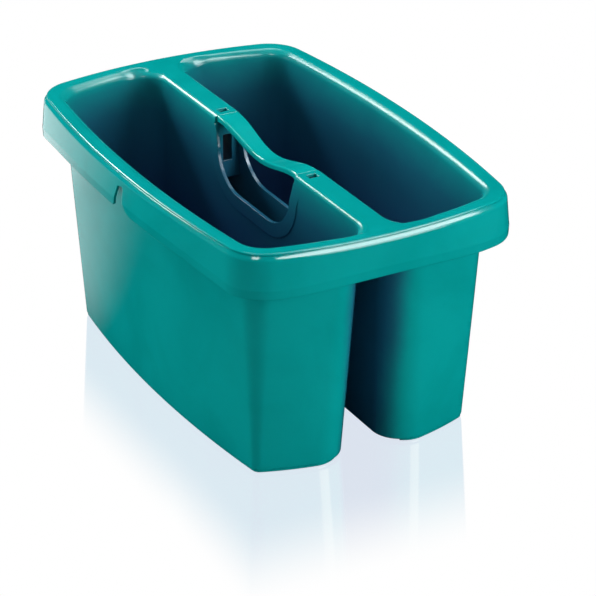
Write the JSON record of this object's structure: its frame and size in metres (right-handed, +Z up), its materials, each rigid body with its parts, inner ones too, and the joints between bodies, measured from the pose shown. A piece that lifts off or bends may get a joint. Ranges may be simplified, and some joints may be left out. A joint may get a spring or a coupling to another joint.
{
  "type": "cleaning caddy",
  "caption": "Twin-basin carry caddy with a rolled rim, a slot between its two legs and a clip-in dipped carry strap over a hand hole.",
  "frame": {"origin": "on the floor plane under the middle of the tub", "axes": "+X along the divider and the carry strap, +Y across the two basins, +Z up"},
  "size_m": [0.3996, 0.2642, 0.1985],
  "materials": {
    "tub": "smooth glossy injection-moulded polypropylene, teal green",
    "strap": "smooth glossy injection-moulded polypropylene, teal green"
  },
  "bodies": {
    "root": {"tub": "tub", "carry_strap": "strap"}
  },
  "joints": []
}
